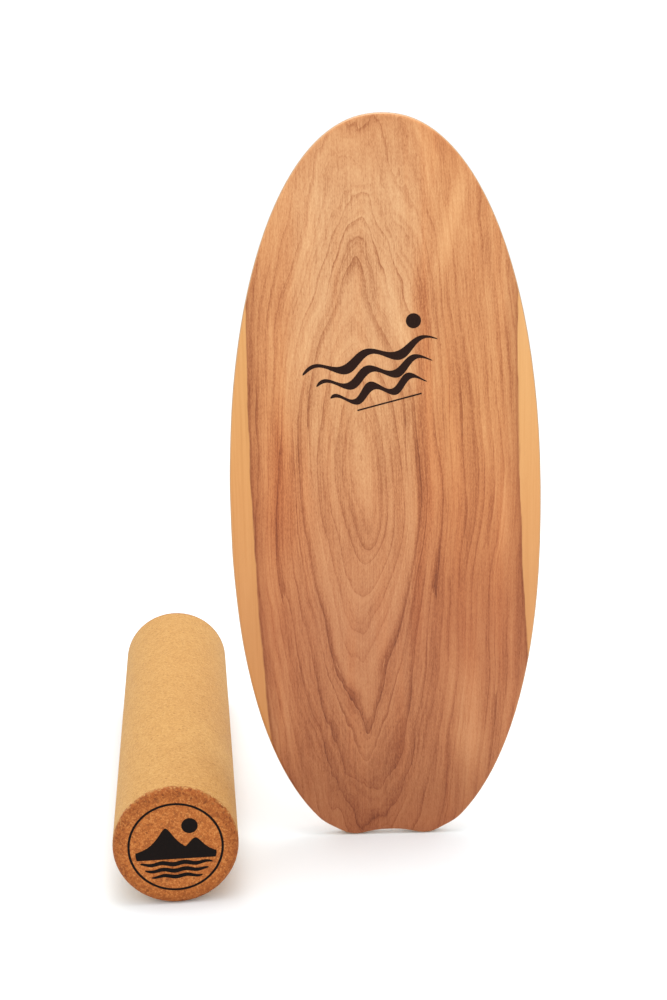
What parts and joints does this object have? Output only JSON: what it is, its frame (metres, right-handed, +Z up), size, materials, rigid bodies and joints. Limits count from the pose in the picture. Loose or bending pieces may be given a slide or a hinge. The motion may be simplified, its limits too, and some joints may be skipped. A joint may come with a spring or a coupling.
{
  "type": "balance board",
  "caption": "Oval laminated wooden balance deck standing on its tail beside the long cork-covered roller it is ridden on, which rolls along the floor and turns as it goes.",
  "frame": {"origin": "on the floor, midway between the two tail lobes the deck stands on, in the middle of the deck's thickness", "axes": "+Z up the deck from tail to nose; the riding face looks along -Y; +X to the right of someone facing the riding face, with the roller on the -X side"},
  "size_m": [0.4613, 0.5072, 0.73],
  "materials": {
    "face_wood": "satin",
    "back_wood": "satin",
    "ply_along": "satin",
    "ply_across": "satin",
    "stop_wood": "satin",
    "screw_steel": "satin",
    "tube_plastic": "matte",
    "cork": "matte",
    "dark_cork": "matte"
  },
  "bodies": {
    "deck": {"face_veneer": "face_wood", "ply_1": "ply_along", "ply_2": "ply_across", "ply_3": "ply_along", "ply_4": "ply_across", "ply_5": "ply_along", "ply_6": "ply_across", "ply_7": "ply_along", "back_veneer": "back_wood", "nose_stop": "stop_wood", "tail_stop": "stop_wood", "nose_stop_screws": "screw_steel", "tail_stop_screws": "screw_steel"},
    "roller_core": {"core_tube": "tube_plastic"},
    "roller_barrel": {"cork_sleeve": "cork", "front_end_disc": "dark_cork", "rear_end_disc": "dark_cork"}
  },
  "joints": [
    {"name": "roller_travel", "type": "slide", "parent": "deck", "child": "roller_core", "axis": [0.9966, 0.0819, 0], "range_m": [-0.377, 0.04]},
    {"name": "roller_spin", "type": "hinge", "parent": "roller_core", "child": "roller_barrel", "pos_m": [-0.229, 0.109, 0.06], "axis": [-0.0819, 0.9966, 0], "range_deg": [-361, 39]}
  ],
  "couplings": [
    {"joint": "roller_spin", "follows": "roller_travel", "rad_per_m": 16.667}
  ]
}
